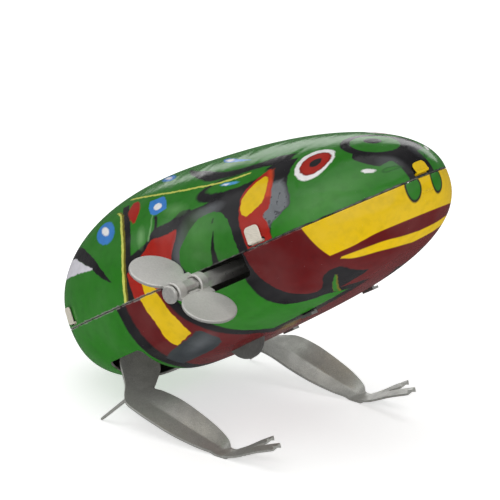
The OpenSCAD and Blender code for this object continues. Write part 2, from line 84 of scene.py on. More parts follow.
def from_stance(x, y, z):
    """From stance axes to the row frame."""
    return GROUND + Vector((x, y, z)) * MM


# ---- Form of the body ----

REAR_LENGTH = 35.9
FRONT_LENGTH = 41.8
HALF_WIDTH = 18.5
UPPER_HEIGHT = 15.4
LOWER_HEIGHT = 13.2
PLAN_POWER = (2.66, 2.55)
BACK_POWER = (2.66, 2.13)
BELLY_POWER = (3.33, 2.89)
PLAN_SWELL = 0.04
BACK_SWELL = -0.21
BELLY_SWELL = -0.10
UPPER_SQUARE = 2.09
LOWER_SQUARE = 2.58
TIN = 0.28
SKIN = 0.05
SEAM_GAP = 0.1
END_SHRINK = 38


def roundness(t, powers):
    """Share of the full width or height left at t, which runs from -1 at the rear to 1 at the nose."""
    power = np.where(t < 0, powers[1], powers[0])
    return np.sqrt(np.clip(1 - np.abs(t) ** power, 0, None))


def along(t):
    return np.where(t < 0, t * REAR_LENGTH, t * FRONT_LENGTH)


def station(x):
    return np.where(x < 0, x / REAR_LENGTH, x / FRONT_LENGTH)


def half_width(t):
    return HALF_WIDTH * roundness(t, PLAN_POWER) * (1 + PLAN_SWELL * t)


def height(t, upper):
    if upper:
        return UPPER_HEIGHT * roundness(t, BACK_POWER) * (1 + BACK_SWELL * t)
    return LOWER_HEIGHT * roundness(t, BELLY_POWER) * (1 + BELLY_SWELL * t)


def section_point(t, angle, upper, inset):
    """Body-axes point on a half shell: angle runs from 0 on the right, over or under, to pi on the left."""
    square = UPPER_SQUARE if upper else LOWER_SQUARE
    wide = np.maximum(half_width(t) - inset, 0.02)
    tall = np.maximum(height(t, upper) - inset, 0.02)
    cosine = np.cos(angle)
    x = along(t) * (1 - inset / END_SHRINK)
    y = -wide * np.sign(cosine) * np.abs(cosine) ** (2 / square)
    z = tall * np.clip(np.sin(angle), 0, None) ** (2 / square)
    return x, y, z if upper else -z


def rim_turn(x):
    """Angle by which the wall's outward normal at the seam turns from straight sideways."""
    near = half_width(station(np.array(x - 0.1)))
    far = half_width(station(np.array(x + 0.1)))
    return math.atan2(float(near - far), 0.2)


# ---- Mesh helpers ----


def add_object(name, data):
    """A new object in the scene."""
    piece = bpy.data.objects.new(name, data)
    bpy.context.scene.collection.objects.link(piece)
    return piece


def new_object(name, points, faces, smooth_angle=35):
    """A mesh object from points in the row frame, with sharp edges only past an angle."""
    mesh = bpy.data.meshes.new(name)
    mesh.from_pydata([tuple(p) for p in points], [], faces)
    piece = add_object(name, mesh)
    face_out(mesh)
    smooth(mesh, smooth_angle)
    return piece


def face_out(mesh):
    work = bmesh.new()
    work.from_mesh(mesh)
    bmesh.ops.recalc_face_normals(work, faces=work.faces)
    work.to_mesh(mesh)
    work.free()


def smooth(mesh, angle):
    mesh.polygons.foreach_set("use_smooth", [True] * len(mesh.polygons))
    mesh.set_sharp_from_angle(angle=math.radians(angle))


def apply_modifiers(piece):
    """Puts the result of a piece's modifiers into its mesh."""
    depsgraph = bpy.context.evaluated_depsgraph_get()
    result = bpy.data.meshes.new_from_object(piece.evaluated_get(depsgraph))
    result.materials.clear()
    piece.modifiers.clear()
    piece.data = result


def join(name, pieces):
    """One object from several."""
    work = bmesh.new()
    for piece in pieces:
        work.from_mesh(piece.data)
    mesh = bpy.data.meshes.new(name)
    work.to_mesh(mesh)
    work.free()
    for piece in pieces:
        bpy.data.objects.remove(piece)
    return add_object(name, mesh)


def loft(name, rings, place, smooth_angle=35):
    """A closed skin over rings of the same number of points, each a list of (x, y, z)."""
    count = len(rings[0])
    points = [place(*p) for ring in rings for p in ring]
    faces = [
        (i * count + j, i * count + (j + 1) % count, (i + 1) * count + (j + 1) % count, (i + 1) * count + j)
        for i in range(len(rings) - 1)
        for j in range(count)
    ]
    faces.append(tuple(range(count)))
    faces.append(tuple((len(rings) - 1) * count + j for j in range(count)))
    return new_object(name, points, faces, smooth_angle)


def curve_through(knots, per_span):
    """Catmull-Rom points through rows of numbers."""
    rows = np.array(knots, float)
    padded = np.vstack([2 * rows[0] - rows[1], rows, 2 * rows[-1] - rows[-2]])
    result = []
    for i in range(1, len(padded) - 2):
        before, here, there, after = padded[i - 1 : i + 3]
        for k in range(per_span):
            u = k / per_span
            result.append(
                0.5
                * (
                    2 * here
                    + (there - before) * u
                    + (2 * before - 5 * here + 4 * there - after) * u**2
                    + (3 * here - before - 3 * there + after) * u**3
                )
            )
    result.append(rows[-1])
    return np.array(result)


# ---- Material helpers ----


class Nodes:
    """A material's node tree, built by small calls that take numbers or sockets."""

    def __init__(self, name):
        self.material = bpy.data.materials.new(name)
        self.material.use_nodes = True
        self.tree = self.material.node_tree
        self.tree.nodes.clear()

    def feed(self, socket, value):
        if isinstance(value, bpy.types.NodeSocket):
            self.tree.links.new(value, socket)
        else:
            socket.default_value = value

    def node(self, kind, inputs=None, **settings):
        made = self.tree.nodes.new(kind)
        for key, value in settings.items():
            setattr(made, key, value)
        for key, value in (inputs or {}).items():
            self.feed(made.inputs[key], value)
        return made

    def math(self, operation, a, b=0.0):
        return self.node("ShaderNodeMath", {0: a, 1: b}, operation=operation).outputs[0]

    def least(self, values):
        result = values[0]
        for value in values[1:]:
            result = self.math("MINIMUM", result, value)
        return result

    def mix(self, factor, a, b):
        made = self.node("ShaderNodeMix", data_type="RGBA")
        self.feed(made.inputs[0], factor)
        self.feed(made.inputs[6], a)
        self.feed(made.inputs[7], b)
        return made.outputs[2]

    def blend(self, factor, a, b):
        made = self.node("ShaderNodeMix", data_type="FLOAT")
        self.feed(made.inputs[0], factor)
        self.feed(made.inputs[2], a)
        self.feed(made.inputs[3], b)
        return made.outputs[0]

    def split(self, vector):
        return self.node("ShaderNodeSeparateXYZ", {0: vector}).outputs

    def scaled(self, vector, scale):
        made = self.node("ShaderNodeVectorMath", {0: vector}, operation="MULTIPLY")
        made.inputs[1].default_value = scale
        return made.outputs[0]

    def place(self):
        """The place on the piece, in millimetres."""
        return self.scaled(self.node("ShaderNodeTexCoord").outputs["Object"], (1 / MM, 1 / MM, 1 / MM))

    def noise(self, vector, scale, detail=3.0, rough=0.5):
        inputs = {"Vector": vector, "Scale": scale, "Detail": detail, "Roughness": rough}
        return self.node("ShaderNodeTexNoise", inputs).outputs[0]

    def remap(self, value, low, high, to_low=0.0, to_high=1.0):
        inputs = {0: value, 1: low, 2: high, 3: to_low, 4: to_high}
        return self.node("ShaderNodeMapRange", inputs, clamp=True).outputs[0]

    def curve(self, value, points):
        """A smooth function through (value, result) points, level beyond its ends."""
        values = [p[0] for p in points]
        results = [p[1] for p in points]
        low, high = min(values), max(values)
        floor, top = min(results), max(results)
        span = max(top - floor, 1e-6)
        made = self.node("ShaderNodeFloatCurve", {"Value": self.remap(value, low, high)})
        line = made.mapping.curves[0].points
        spots = [((v - low) / (high - low), (r - floor) / span) for v, r in points]
        line[0].location = spots[0]
        line[1].location = spots[-1]
        for spot in spots[1:-1]:
            line.new(*spot)
        for spot in line:
            spot.handle_type = "AUTO_CLAMPED"
        made.mapping.update()
        return self.lift(made.outputs[0], span, floor)

    def plus(self, a, b):
        return self.math("ADD", a, b)

    def minus(self, a, b):
        return self.math("SUBTRACT", a, b)

    def times(self, a, b):
        return self.math("MULTIPLY", a, b)

    def lift(self, value, span, floor):
        """Carries a value of 0 to 1 to one that starts at floor and runs over span."""
        return self.plus(self.times(value, span), floor)

    def finish(self, **inputs):
        shader = self.node("ShaderNodeBsdfPrincipled", inputs)
        output = self.node("ShaderNodeOutputMaterial")
        self.tree.links.new(shader.outputs[0], output.inputs[0])
        return self.material


# ---- The print ----


def shade(red, green, blue):
    """Linear colour from display values of 0 to 255."""
    linear = [((c / 255 + 0.055) / 1.055) ** 2.4 if c > 10 else c / 255 / 12.92 for c in (red, green, blue)]
    return (*linear, 1.0)


GREEN = shade(42, 118, 30)
PALE_GREEN = shade(120, 172, 108)
DEEP_GREEN = shade(24, 84, 22)
BLACK = shade(26, 25, 28)
SLATE = shade(52, 58, 62)
GREY = shade(112, 116, 120)
RED = shade(166, 32, 20)
DARK_RED = shade(120, 24, 18)
ORANGE = shade(204, 66, 20)
MAROON = shade(98, 22, 24)
YELLOW = shade(226, 188, 8)
LINE_YELLOW = shade(204, 208, 96)
OLIVE = shade(112, 104, 20)
BLUE = shade(58, 128, 204)
PALE_BLUE = shade(84, 160, 214)
PALE_GREY = shade(214, 212, 220)
WHITE = shade(240, 238, 238)
TINPLATE = (0.62, 0.61, 0.57, 1.0)
WAVER = 0.14


class Print(Nodes):
    """A printed pattern: one colour laid over the last through masks, with places in millimetres."""

    def __init__(self, name, base):
        super().__init__(name)
        place = self.node("ShaderNodeAttribute", attribute_name="print_place").outputs[1]
        body = self.node("ShaderNodeAttribute", attribute_name="body_place").outputs[1]
        self.body = body
        self.s, self.t, self.inner = self.split(place)
        self.x, self.y, self.z = self.split(body)
        self.out = self.math("ABSOLUTE", self.y)
        self.s = self.plus(self.s, self.remap(self.noise(body, 1.1), 0.2, 0.8, -WAVER, WAVER))
        self.t = self.plus(self.t, self.remap(self.noise(body, 1.3), 0.2, 0.8, -WAVER, WAVER))
        self.colour = base

    def value(self, u, given):
        return self.curve(u, given) if isinstance(given, list) else given

    def area(self, u, v, low, high):
        """Distance inside the area between two lines v = low(u) and v = high(u)."""
        ends = [p[0] for line in (low, high) if isinstance(line, list) for p in line]
        return self.least([
            self.minus(v, self.value(u, low)),
            self.minus(self.value(u, high), v),
            self.minus(u, min(ends)),
            self.minus(max(ends), u),
        ])

    def stroke(self, u, v, line, half):
        """Distance inside a brush stroke along v = line(u)."""
        away = self.math("ABSOLUTE", self.minus(v, self.value(u, line)))
        return self.least([
            self.minus(self.value(u, half), away),
            self.minus(u, line[0][0]),
            self.minus(line[-1][0], u),
        ])

    def ellipse(self, u, v, centre, radii, turn=0.0):
        """Distance inside an ellipse whose first radius is turned from u towards v, in degrees."""
        cosine, sine = math.cos(math.radians(turn)), math.sin(math.radians(turn))
        du = self.minus(u, centre[0])
        dv = self.minus(v, centre[1])
        first = self.plus(self.times(du, cosine / radii[0]), self.times(dv, sine / radii[0]))
        second = self.minus(self.times(dv, cosine / radii[1]), self.times(du, sine / radii[1]))
        size = self.math("SQRT", self.plus(self.times(first, first), self.times(second, second)))
        return self.times(self.minus(1.0, size), min(radii))

    def lay(self, colour, distance, soft=0.16, strength=1.0):
        """Prints a colour where the distance is above 0, with an edge as wide as soft."""
        mask = self.remap(distance, -soft / 2, soft / 2, 0.0, strength)
        self.colour = self.mix(mask, self.colour, colour)

    def spot(self, colour, centre, radii, turn, soft, strength=1.0):
        """Prints an ellipse laid out in s and t."""
        self.lay(colour, self.ellipse(self.s, self.t, centre, radii, turn), soft, strength)

    def lacquered(self, rim):
        """The shader: print under clear lacquer, with bare tin on the inside and where the rim is worn."""
        tone = self.noise(self.body, 0.16, 2.0)
        colour = self.mix(self.remap(tone, 0.35, 0.7, 0.0, 0.02), self.colour, WHITE)
        colour = self.mix(self.remap(self.noise(self.body, 0.7, 4.0), 0.45, 0.75, 0.0, 0.14), colour, BLACK)
        speck = self.math("GREATER_THAN", self.noise(self.body, 5.5, 1.0), 0.83)
        colour = self.mix(self.times(speck, 0.5), colour, WHITE)
        bare = self.math("MAXIMUM", self.math("GREATER_THAN", self.inner, 0.3), rim)
        colour = self.mix(bare, colour, TINPLATE)
        fine = self.noise(self.body, 7.0, 2.0)
        coarse = self.noise(self.scaled(self.body, (1, 0.5, 0.25)), 0.2, 2.0)
        relief = self.plus(self.times(fine, 0.02), coarse)
        bump = self.node("ShaderNodeBump", {"Height": relief, "Strength": 0.22, "Distance": 0.0012})
        rough = self.remap(self.noise(self.body, 1.6, 4.0), 0.3, 0.75, 0.10, 0.24)
        return self.finish(**{
            "Base Color": colour,
            "Metallic": bare,
            "Roughness": self.blend(bare, rough, 0.32),
            "Normal": bump.outputs[0],
            "Specular IOR Level": 0.0,
            "Coat Weight": 0.5,
            "Coat Roughness": rough,
            "Coat Normal": bump.outputs[0],
        })


def back_pattern(p):
    """Black fields and lines of the back and flank."""
    s, t = p.s, p.t
    field_top = [
        (-6.5, 6.6), (-2.4, 7.6), (0, 9.5), (3.4, 9.7), (6, 10.7),
        (9, 10.1), (14, 10.9), (20, 12.4), (24, 14.3), (27.6, 13.6),
    ]
    field_front = [
        (-1, 23), (0.5, 23.4), (2, 23.9), (3.4, 26.2),
        (4.6, 27.6), (6.5, 27.2), (8.9, 26.5), (15, 26.1),
    ]
    field = p.least([p.area(s, t, -2, field_top), p.minus(p.curve(t, field_front), s)])
    p.lay(BLACK, field, 0.25)
    rear_band = [(-1, -8.6), (2.5, -7.5), (5.3, -6.8), (8, -6.6), (11, -7.1), (14, -8.4), (17.5, -10.6)]
    p.lay(BLACK, p.stroke(t, s, rear_band, 0.85), 0.3)
    p.lay(BLACK, p.stroke(t, s, [(8, -0.2), (10, -0.1), (11.9, -0.6)], 0.32), 0.3)
    p.lay(PALE_GREEN, p.stroke(t, s, [(7.8, -1.6), (10, -1.25), (12, -1.4), (13.6, -2.1)], 0.17), 0.25, 0.8)
    # Painted reflection: a pale green spot on the green above the black field.
    p.spot(PALE_GREEN, (-3.4, 9.0), (0.7, 1.5), 8, 0.9, 0.6)
    p.spot(PALE_GREEN, (4.0, 11.6), (2.2, 0.9), -20, 1.3, 0.45)
    p.spot(BLACK, (14.3, 12.25), (6.1, 2.3), -3, 0.25)
    p.spot(GREEN, (16.0, 12.75), (5.8, 1.5), -3, 0.3)
    top_band = [(0.2, 23), (3, 20.5), (7, 18.0), (10, 16.4), (13, 15.6), (17, 15.2), (21, 15.2), (25, 14.4)]
    top_half = [(0.2, 0.3), (4, 0.75), (9, 1.25), (13, 0.9), (18, 0.8), (22, 1.3), (25, 1.6)]
    p.lay(BLACK, p.stroke(s, t, top_band, top_half), 0.5)
    horn_low = [(-27, 11.2), (-23.8, 10.7), (-19.6, 9.1), (-16.5, 7.3), (-13.9, 5.3), (-11.5, 3.9)]
    horn_high = [(-27, 13.4), (-22, 12.6), (-18.7, 10.9), (-15.8, 8.9), (-13.4, 6.3), (-11.5, 4.1)]
    p.lay(BLACK, p.area(s, t, horn_low, horn_high), 0.2)
    patch_low = [(-30, 8), (-23.2, 7.75), (-16.3, 7.2)]
    patch_high = [(-30, 11.4), (-24, 10.9), (-21, 9.7), (-16.3, 7.4)]
    p.lay(PALE_GREY, p.area(s, t, patch_low, patch_high), 0.2)


def back_lines(p):
    """Thin yellow lines, dots and drops."""
    s, t = p.s, p.t
    rear_line = [
        (-0.5, -10), (2.5, -8.8), (5.3, -8.1), (7.7, -7.85), (10.1, -8.15),
        (12.2, -8.9), (14.6, -10.1), (15.9, -11.3), (16.5, -12.3),
    ]
    olive_line = [(v, r + 0.42) for v, r in rear_line]
    p.lay(OLIVE, p.stroke(t, s, olive_line, 0.34), 0.3)
    p.lay(LINE_YELLOW, p.stroke(t, s, rear_line, 0.27), 0.14)
    top_line = [
        (-11, 19.4), (-6, 18.0), (-2, 16.95), (4, 15.5), (7.2, 14.9),
        (10, 14.3), (12.5, 13.9), (16, 13.6), (18.5, 13.7),
    ]
    p.lay(LINE_YELLOW, p.stroke(s, t, top_line, 0.2), 0.14)
    drop_rear = [(12.3, -6.1), (14, -7.7), (16, -8.7), (17.5, -8.7)]
    drop_front = [(12.3, -5.5), (14, -5.4), (16, -6.1), (17.5, -7.6)]
    p.lay(RED, p.area(t, s, drop_rear, drop_front), 0.4)
    p.spot(BLUE, (-13.7, 13.0), (3.4, 1.9), -35, 0.25)
    p.spot(WHITE, (-13.85, 13.3), (1.7, 0.62), -36, 0.25)
    spot_low = [(-3.6, 15.7), (-2.4, 13.2), (-0.6, 12.2), (1.5, 12.6)]
    spot_high = [(-3.6, 15.9), (-1, 15.9), (0.4, 14.9), (1.5, 12.8)]
    p.lay(BLUE, p.area(s, t, spot_low, spot_high), 0.2)
    p.spot(WHITE, (-0.9, 13.85), (1.05, 0.62), -28, 0.22)
    streak = [(7.6, 22.7), (9.5, 21.4), (12, 20.0), (16, 18.2)]
    streak_half = [(7.6, 0.2), (9.5, 0.75), (12, 0.5), (16, 0.04)]
    p.lay(BLUE, p.stroke(s, t, streak, streak_half), 0.25)
    p.spot(WHITE, (9.9, 21.2), (1.5, 0.42), -32, 0.3)
    p.spot(PALE_BLUE, (14.9, 12.75), (1.9, 0.36), -13, 0.2)
    p.spot(WHITE, (14.2, 12.85), (0.7, 0.16), -13, 0.2)
    p.spot(BLUE, (-4.2, 22.6), (2.8, 1.0), -35, 0.4)
    p.spot(WHITE, (-4.5, 22.8), (1.5, 0.4), -35, 0.4)


def flank_pattern(p):
    """Red patch, green dome, flame and the grey brushed patch behind the cheek."""
    s, t = p.s, p.t
    red_low = [(-7.3, -1), (0, -1), (2.4, 2.4), (3.6, 4.3), (4.6, 6), (4.95, 7.2)]
    red_high = [(-7.3, 4.2), (-5, 5.2), (-2.6, 6.4), (-0.1, 7.8), (2, 7.6), (4.95, 7.8)]
    p.lay(RED, p.area(s, t, red_low, red_high), 0.2)
    stripe_rear = [(-1, -4.7), (2.2, -4.6), (3.4, -4.4)]
    stripe_front = [(-1, -1.6), (0.5, -2.1), (1.6, -3.2), (3.4, -4.2)]
    p.lay(YELLOW, p.area(t, s, stripe_rear, stripe_front), 0.15)
    p.spot(GREY, (5.4, 4.4), (1.3, 2.8), -18, 1.6, 0.6)
    p.spot(GREY, (11.7, 8.7), (2.7, 1.0), 0, 1.0, 0.55)
    dome_low = [(4.85, 2.1), (5.6, 0.6), (6.6, -1), (17, -1)]
    dome_high = [
        (4.85, 2.5), (5.3, 4.1), (6.8, 5.6), (8.7, 7.2), (11, 8.15),
        (13.4, 7.95), (15.4, 6.7), (16.5, 4.4), (17, 0.5),
    ]
    p.lay(GREEN, p.area(s, t, dome_low, dome_high), 0.2)
    # Painted highlight: the green dome made lighter in its middle.
    p.spot(PALE_GREEN, (9.6, 5.0), (2.6, 3.2), 15, 4.0, 0.3)
    thorn = [(-0.5, 11.8), (2.5, 12.3), (4.9, 13.0)]
    p.lay(BLACK, p.stroke(t, s, thorn, [(-0.5, 0.75), (2.5, 0.4), (4.9, 0.08)]), 0.25)
    p.lay(BLACK, p.stroke(t, s, [(6.3, 12.9), (7.1, 13.1)], 0.2), 0.2, 0.7)
    brushed = p.area(t, s, 21.5, [(2.2, 23.6), (3.4, 25.9), (4.6, 27.3), (6.5, 26.9), (9.2, 25.4)])
    p.lay(GREY, brushed, 0.9)
    smudge = p.math("GREATER_THAN", p.noise(p.body, 1.5, 2.0), 0.62)
    p.lay(BLACK, p.minus(p.times(smudge, p.math("MINIMUM", brushed, 0.5)), 0.2), 0.3, 0.6)
    flame_left = [(0.2, 18.7), (2.9, 18.5), (5, 18.35), (8.6, 18.5), (10.8, 20.0), (12.9, 22.1)]
    flame_right = [(0.2, 23.3), (2.4, 23.5), (3.9, 22.9), (5, 24.0), (7.4, 24.2), (10.8, 23.2), (12.9, 22.4)]
    p.lay(RED, p.area(t, s, flame_left, flame_right), 0.25)
    p.lay(ORANGE, p.stroke(t, s, [(7, 23.6), (10, 23.3), (12.6, 22.5)], 0.45), 0.6, 0.8)
    heart_rear = [(5.1, 19.6), (5.8, 18.8), (7.2, 18.6), (10, 20.0), (11.4, 21.8)]
    heart_front = [(5.1, 20.1), (5.8, 21.8), (6.5, 22.8), (8.4, 23.1), (10.8, 22.7), (11.4, 22.1)]
    p.lay(YELLOW, p.area(t, s, heart_rear, heart_front), 0.2)


def head_pattern(p):
    """Eye, snout marks, the black band round the green lobe on top of the head, and a painted reflection low on
    the face.
    """
    s, y, out, z = p.s, p.y, p.out, p.z
    snout_edge = [
        (31, 2.0), (33, 3.2), (34.3, 4.4), (35.6, 6.2), (37.3, 6.0),
        (38.8, 5.2), (39.3, 3.9), (39.8, 2.9), (41.3, 2.8), (41.9, 1.6),
    ]
    above = p.times(p.minus(z, 0.15), 3.0)
    snout = p.least([p.area(s, out, -1, snout_edge), above])
    ring = p.ellipse(s, y, (34.4, -0.4), (4.3, 4.6))
    p.lay(BLACK, p.least([p.math("MAXIMUM", snout, ring), above]), 0.25)
    p.lay(GREEN, p.least([p.ellipse(s, y, (34.9, -0.1), (3.5, 3.6)), above]), 0.25)
    p.lay(BLACK, p.least([p.ellipse(s, y, (34.3, 0.3), (1.3, 1.2)), above]), 0.25)
    p.lay(GREY, p.least([p.ellipse(s, out, (39.4, 3.4), (0.9, 1.6), 30), above]), 0.8, 0.25)
    # Painted reflection: a pale green patch low on the face.
    p.spot(PALE_GREEN, (32.5, 2.4), (5.0, 2.2), 14, 3.0, 0.3)
    p.spot(WHITE, (29.65, 11.0), (2.6, 4.05), 19, 0.2)
    p.spot(DARK_RED, (29.85, 10.95), (2.05, 2.95), 19, 0.2)
    p.spot(RED, (29.85, 10.95), (1.85, 2.7), 19, 0.3)
    p.spot(BLACK, (29.95, 10.9), (0.8, 1.1), 19, 0.2)
    p.spot(WHITE, (38.0, 4.7), (0.95, 0.36), -37, 0.16)
    p.spot(DEEP_GREEN, (40.0, 3.7), (0.75, 0.6), -30, 0.25, 0.7)
    p.spot(GREEN, (40.0, 3.7), (0.45, 0.34), -30, 0.25)


def upper_print():
    """The upper shell's print, with a painted shadow along the front of the seam, under the upper shell's proud
    edge, and a worn rim.
    """
    p = Print("printed_upper", GREEN)
    back_pattern(p)
    flank_pattern(p)
    back_lines(p)
    head_pattern(p)
    # Painted shadow: a black line along the front of the seam, where the upper shell's edge stands proud of the
    # lower.
    seam_shadow_width = p.remap(p.s, 10, 19, 0.14, 0.27)
    p.lay(BLACK, p.minus(seam_shadow_width, p.math("ABSOLUTE", p.t)), 0.1, 0.95)
    rear = p.remap(p.s, -12, 6, 1.0, 0.25)
    patchy = p.remap(p.noise(p.body, 0.8, 3.0), 0.35, 0.6)
    rim = p.times(p.times(p.remap(p.t, 0.1, 0.3, 1.0, 0.0), rear), patchy)
    return p.lacquered(rim)


def belly_pattern(p):
    """Tail, stripes and belly of the lower shell."""
    s, t = p.s, p.t
    tail_edge = [(-30, -12.9), (-18, -12.6), (-13, -11.6), (-10, -11.8), (0, -12.4)]
    p.lay(BLACK, p.area(t, s, -60, [(v, r + 2.4) for v, r in tail_edge]), 0.5)
    p.lay(GREEN, p.area(t, s, -60, tail_edge), 0.3)
    stripe_left = [(-9.8, -5.3), (-7.3, -5.8), (-5.2, -5.45), (-2.1, -5.9), (1, -6.3)]
    stripe_right = [(-9.8, -1.0), (-8.4, -0.8), (-6.1, -0.8), (-4, -1.3), (-1.6, -1.8), (1, -2.8)]
    slant = p.plus(t, 9.5)
    bottom = p.minus(slant, p.times(p.plus(s, 5.1), 0.26))
    stripe = p.least([p.area(t, s, stripe_left, stripe_right), bottom])
    p.lay(DARK_RED, p.plus(stripe, 0.25), 0.3, 0.8)
    slate_low = [(-10, -14.4), (-4, -14.4), (0, -13.6), (1.8, -12)]
    slate_high = [(-10, -11.0), (-8, -10.2), (-5.8, -9.7), (-1, -8.9), (0.4, -8.5), (1.8, -11)]
    p.lay(SLATE, p.area(s, t, slate_low, slate_high), 0.3)
    # Painted reflection: a grey sheen on the dark slate patch.
    p.spot(GREY, (-2.0, -11.3), (3.2, 1.0), 12, 1.6, 0.45)
    p.lay(YELLOW, stripe, 0.15)
    belly_rear = [(-16, 7.9), (-12, 5.8), (-9, 4.2), (-6, 2.5), (-4.5, 1.7), (-2.5, 0.9)]
    belly_front = [(-17.5, 24), (-15, 23), (-13.3, 21.4), (-12.2, 18.5), (-9, 16.4), (-4.4, 16), (0, 16.2)]
    green = p.area(t, s, belly_rear, belly_front)
    p.lay(BLACK, p.plus(green, 1.9), 0.5)
    p.lay(GREEN, p.minus(green, 0.25), 0.3)
    p.spot(OLIVE, (8.5, -20.5), (2.6, 1.2), 30, 1.4, 0.6)


def cheek_pattern(p):
    """Maroon cheek with its black outline, yellow mouth and lip stripe."""
    s, t, out, z = p.s, p.t, p.out, p.z
    outline = [
        (15.8, -2), (16.3, -8), (17.2, -10.6), (18.5, -12.3), (21.4, -13.9),
        (25, -14.5), (28, -14.6), (30.6, -13.2), (31.4, -10),
    ]
    p.lay(BLACK, p.area(s, t, outline, 2), 0.35)
    tendril = [(23.2, -15.4), (25, -13), (26.6, -11.2), (27.5, -10.2)]
    p.lay(OLIVE, p.stroke(s, t, tendril, [(23.2, 0.8), (25, 0.6), (27.5, 0.2)]), 0.3)
    tendril = [(23.2, -15.2), (25, -12.8), (26.6, -11), (27.4, -10.1)]
    p.lay(GREEN, p.stroke(s, t, tendril, [(23.2, 0.5), (25, 0.4), (27.4, 0.15)]), 0.3)
    cheek = [
        (17.6, 0), (18.1, -3.6), (19.2, -7.2), (20.6, -10), (22.8, -11.9),
        (24.5, -10.9), (26.4, -8.9), (28, -8.4), (29.8, -8.9), (31.4, -10),
    ]
    p.lay(MAROON, p.area(s, t, cheek, 2), 0.25)
    front = p.area(s, t, [(29.5, -40), (42, -40)], [(29.5, 2), (42, 2)])
    p.lay(MAROON, front, 0.3)
    jaw_bottom = p.curve(out, [(0, -5.15), (7.5, -5.15), (10.2, -5.4), (12, -5.6), (14, -5.6)])
    jaw = p.least([
        p.minus(p.x, p.minus(28.4, p.times(z, 0.26))),
        p.minus(z, jaw_bottom),
    ])
    p.lay(DARK_RED, p.plus(jaw, 0.15), 0.2, 0.7)
    p.lay(YELLOW, jaw, 0.14)
    lip_low = [(-1, -8.5), (4, -8.15), (7, -7.8), (9.9, -7.4), (12, -6.6)]
    lip_high = [(-1, -7.3), (3.4, -7.1), (7.7, -6.65), (9.8, -6.55), (12, -6.4)]
    lip = p.area(out, z, lip_low, lip_high)
    p.lay(YELLOW, p.least([lip, p.minus(p.x, 30)]), 0.14)
    ahead = p.minus(p.x, 38)
    drop = p.ellipse(out, z, (2.65, -1.0), (1.2, 1.8))
    p.lay(BLACK, p.least([p.plus(drop, 0.28), ahead]), 0.2)
    p.lay(GREEN, p.least([drop, ahead]), 0.16)


def lower_print():
    """The lower shell's print, with a rim worn most at the rear."""
    p = Print("printed_lower", MAROON)
    belly_pattern(p)
    cheek_pattern(p)
    patchy = p.remap(p.noise(p.body, 0.8, 3.0), 0.4, 0.6, 0.0, 0.7)
    rim = p.times(p.remap(p.t, -0.25, -0.1), patchy)
    return p.lacquered(p.times(rim, p.remap(p.s, -10, 4, 1.0, 0.2)))


# ---- Metals ----

# Bright tone, dark tone, how fine the brushing is along each axis, roughness, brush marks per
# millimetre, relief, strength of the dull blotches, and how metallic each finish looks.
METALS = {
    "plate_steel": ((0.52, 0.52, 0.5), (0.26, 0.26, 0.26), (6, 1, 1), 0.3, 1.2, 0.15, 0.35, 1),
    "turned_steel": ((0.68, 0.67, 0.63), (0.36, 0.36, 0.35), (1, 9, 1), 0.22, 1.5, 0.15, 0.35, 0.6),
    "spring_steel": ((0.16, 0.18, 0.24), (0.07, 0.08, 0.1), (1, 5, 1), 0.28, 1.2, 0.15, 0.35, 1),
    "wheel_brass": ((0.72, 0.5, 0.2), (0.4, 0.27, 0.1), (5, 1, 5), 0.25, 0.8, 0.15, 0.35, 1),
    "key_nickel": ((0.74, 0.73, 0.7), (0.56, 0.55, 0.52), (1.5, 1.5, 1.5), 0.42, 2.2, 0.3, 0.25, 0.8),
    "leg_tin": ((0.62, 0.62, 0.58), (0.24, 0.24, 0.22), (5, 5, 0.4), 0.26, 1.4, 0.5, 0.3, 0.55),
    # The tabs' tin: a cream tone made near white, partly the tin's own colour and partly a painted highlight.
    "tab_tin_and_highlight": ((0.92, 0.86, 0.74), (0.6, 0.55, 0.45), (1, 1, 4), 0.42, 1.5, 0.3, 0.3, 0.35),
}


def metal(name, bright, dull, grain, roughness, grain_scale, relief, spots, bare):
    """Worn metal, brushed along one axis, with dull blotches."""
    colour, dark = (*bright, 1), (*dull, 1)
    m = Nodes(name)
    place = m.place()
    lines = m.noise(m.scaled(place, grain), grain_scale, 2.0)
    blotch = m.noise(place, 0.5, 5.0, 0.6)
    worn = m.remap(blotch, 0.42, 0.72, 0.0, spots)
    tone = m.mix(m.remap(lines, 0.3, 0.7, 0.0, 0.45), colour, dark)
    tone = m.mix(worn, tone, dark)
    rough = m.lift(m.remap(blotch, 0.3, 0.7), 0.16, roughness)
    rough = m.plus(rough, m.times(lines, 0.08))
    bump = m.node("ShaderNodeBump", {"Height": lines, "Strength": relief, "Distance": 0.00006})
    return m.finish(**{"Base Color": tone, "Metallic": bare, "Roughness": rough, "Normal": bump.outputs[0]})


def painted(name, colour):
    """Plain lacquered tin."""
    m = Nodes(name)
    wear = m.remap(m.noise(m.place(), 1.5), 0.55, 0.75, 0.0, 0.25)
    coat = m.mix(wear, colour, BLACK)
    return m.finish(**{"Base Color": coat, "Roughness": 0.3, "Specular IOR Level": 0.25})


# ---- Shells ----

STATIONS = 150
AROUND = 110
END_ANGLE = math.radians(89)
TAB_WIDTH = 2.7
TAB_AIR = 0.06
TAB_NECK = 0.6
TAB_ROOT = -0.58
TAB_ROUNDING = (20, 40, 60, 75, 86)
TAB_SLOT_HALF = TAB_WIDTH / 2 + 0.35
TAB_SLOT_Z = (0.4, 1.1)
# Place along the body, side (0 at the nose), lean inwards in degrees, and rise of each tab.
TABS = [
    (20.6, -1, 7, 3.3),
    (20.6, 1, 7, 3.3),
    (-27, -1, 5, 3.3),
    (-27, 1, 5, 3.3),
    (FRONT_LENGTH, 0, 16, 2.5),
]
NOTCH_X = (3.8, 17.3)
NOTCH_DEPTH = 3.7
LEG_SLOT_X = (-22.8, -12.5)
LEG_SLOT_TOP = -7.1
